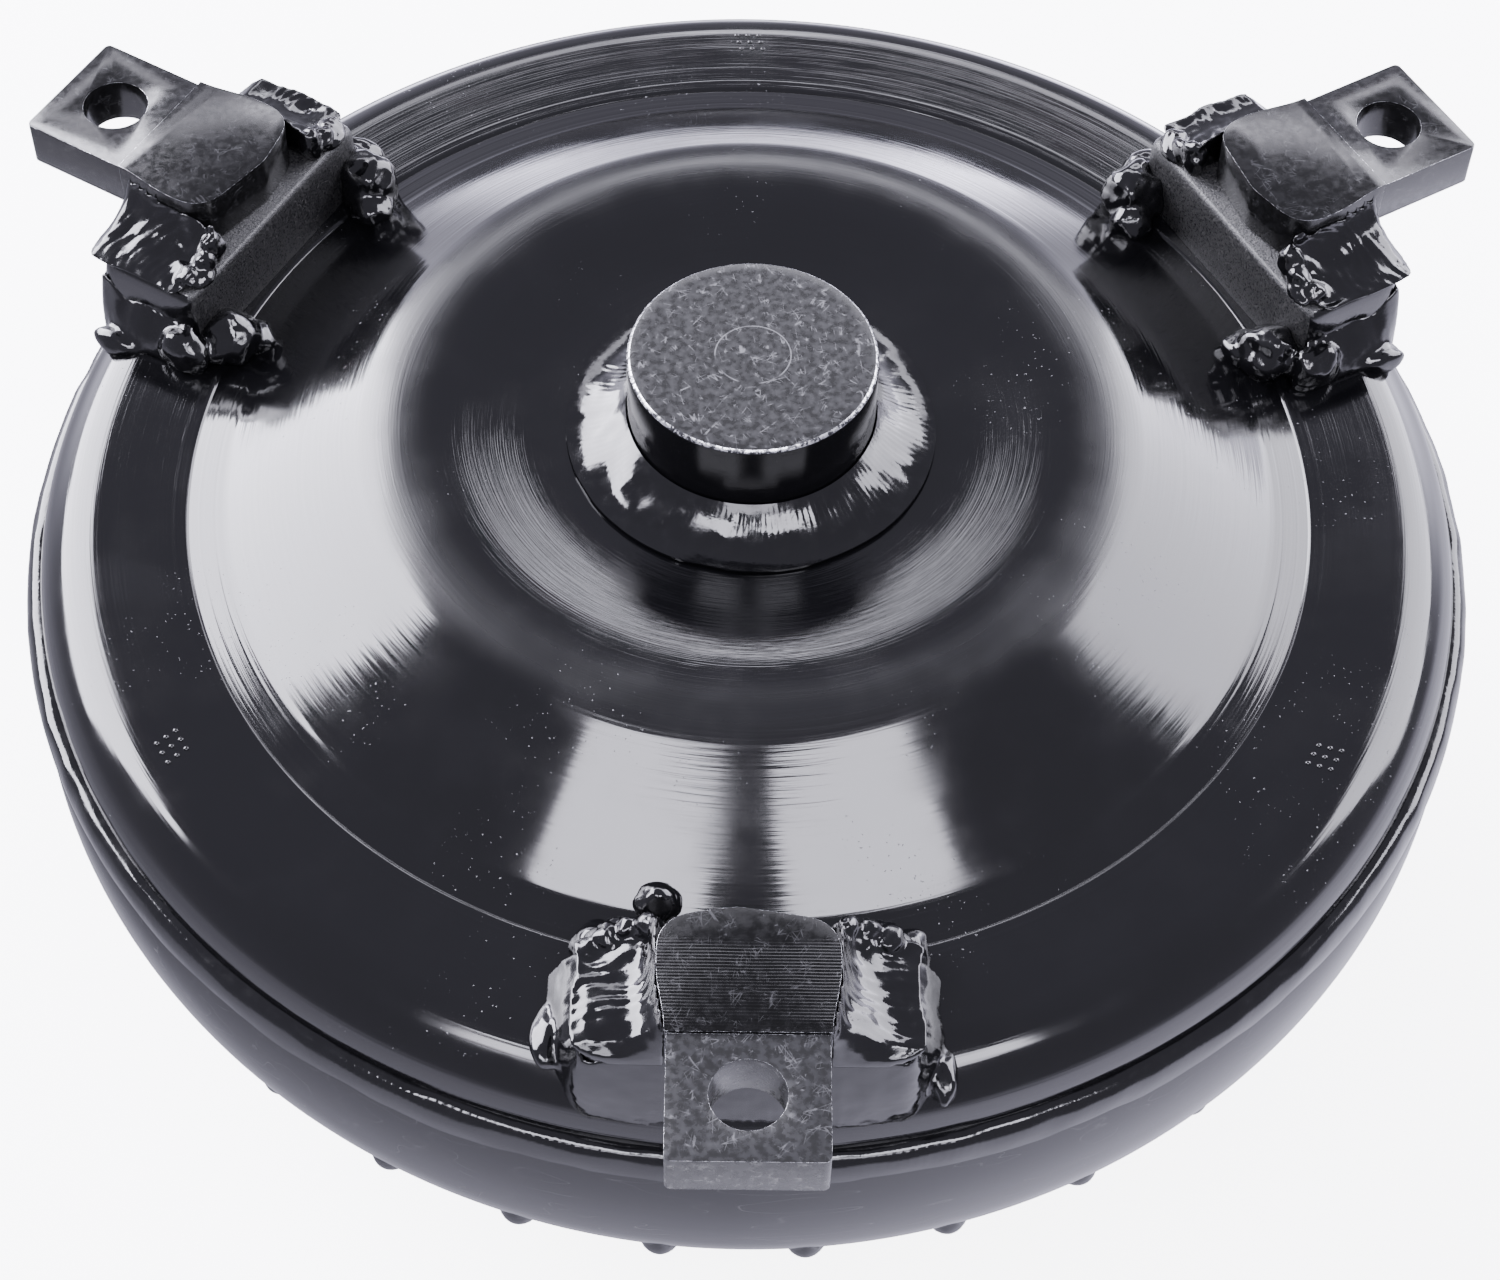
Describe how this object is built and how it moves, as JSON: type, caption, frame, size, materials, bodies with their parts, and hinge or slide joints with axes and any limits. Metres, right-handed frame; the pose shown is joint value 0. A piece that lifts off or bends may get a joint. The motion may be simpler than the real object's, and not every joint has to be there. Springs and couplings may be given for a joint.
{
  "type": "torque converter",
  "caption": "Round welded torque converter with a crank pilot, three lugs for the flexplate, a slotted pump drive hub, and a turbine, stator and one-way clutch inside.",
  "frame": {"origin": "centre of the crank pilot's nose face", "axes": "+Z along the spin axis, out of the engine side; -Y towards mounting lug 1"},
  "size_m": [0.2684, 0.2786, 0.1524],
  "materials": {
    "black_paint": "deep gloss black paint over pressed steel",
    "painted_weld": "gloss black paint over rippled weld beads",
    "worn_black_steel": "black steel, scuffed, with bright worn edges",
    "machined_steel": "turned and ground steel",
    "pressed_steel": "pressed steel, oiled",
    "cast_aluminium": "cast and part machined aluminium",
    "spring_steel": "blued spring steel"
  },
  "bodies": {
    "housing": {"front_cover": "black_paint", "crank_pilot": "worn_black_steel", "pilot_weld": "painted_weld", "mounting_lug_1": "worn_black_steel", "lug_base_1": "black_paint", "lug_weld_1_left": "painted_weld", "lug_weld_1_right": "painted_weld", "base_weld_1": "painted_weld", "mounting_lug_2": "worn_black_steel", "lug_base_2": "black_paint", "lug_weld_2_left": "painted_weld", "lug_weld_2_right": "painted_weld", "base_weld_2": "painted_weld", "mounting_lug_3": "worn_black_steel", "lug_base_3": "black_paint", "lug_weld_3_left": "painted_weld", "lug_weld_3_right": "painted_weld", "base_weld_3": "painted_weld", "impeller_shell": "black_paint", "rim_weld": "painted_weld", "impeller_hub": "machined_steel", "hub_weld": "painted_weld", "impeller_fins": "pressed_steel", "front_bearing_upper_race": "machined_steel", "rear_bearing_lower_race": "machined_steel"},
    "turbine": {"turbine_shell": "pressed_steel", "turbine_hub": "machined_steel", "turbine_fins": "pressed_steel", "turbine_rivet_1": "machined_steel", "turbine_rivet_2": "machined_steel", "turbine_rivet_3": "machined_steel", "turbine_rivet_4": "machined_steel", "turbine_rivet_5": "machined_steel", "turbine_rivet_6": "machined_steel", "front_bearing_lower_race": "machined_steel", "middle_bearing_upper_race": "machined_steel", "middle_bearing_needle_cage": "machined_steel"},
    "stator": {"stator_wheel": "cast_aluminium", "clutch_outer_race": "machined_steel", "clutch_roller_1": "machined_steel", "clutch_roller_2": "machined_steel", "clutch_roller_3": "machined_steel", "clutch_roller_4": "machined_steel", "clutch_roller_5": "machined_steel", "clutch_roller_6": "machined_steel", "clutch_spring_1": "spring_steel", "clutch_spring_2": "spring_steel", "clutch_spring_3": "spring_steel", "clutch_spring_4": "spring_steel", "clutch_spring_5": "spring_steel", "clutch_spring_6": "spring_steel", "stator_front_cap": "cast_aluminium", "stator_rear_cap": "cast_aluminium", "stator_snap_ring": "spring_steel", "middle_bearing_lower_race": "machined_steel", "rear_bearing_upper_race": "machined_steel"},
    "inner_race": {"clutch_inner_race": "machined_steel"},
    "front_needle_cage": {"front_bearing_needle_cage": "machined_steel"},
    "rear_needle_cage": {"rear_bearing_needle_cage": "machined_steel"}
  },
  "joints": [
    {"name": "turbine_spin", "type": "hinge", "parent": "housing", "child": "turbine", "pos_m": [0, 0, -0.042], "axis": [0, 0, 1], "continuous": true},
    {"name": "stator_spin", "type": "hinge", "parent": "housing", "child": "stator", "pos_m": [0, 0, -0.07], "axis": [0, 0, 1], "continuous": true},
    {"name": "inner_race_spin", "type": "hinge", "parent": "housing", "child": "inner_race", "pos_m": [0, 0, -0.07], "axis": [0, 0, 1], "continuous": true},
    {"name": "front_cage_spin", "type": "hinge", "parent": "housing", "child": "front_needle_cage", "pos_m": [0, 0, -0.026], "axis": [0, 0, 1], "continuous": true},
    {"name": "rear_cage_spin", "type": "hinge", "parent": "housing", "child": "rear_needle_cage", "pos_m": [0, 0, -0.0812], "axis": [0, 0, 1], "continuous": true}
  ],
  "couplings": [
    {"joint": "front_cage_spin", "follows": "turbine_spin", "ratio": 0.5},
    {"joint": "rear_cage_spin", "follows": "stator_spin", "ratio": 0.5}
  ]
}
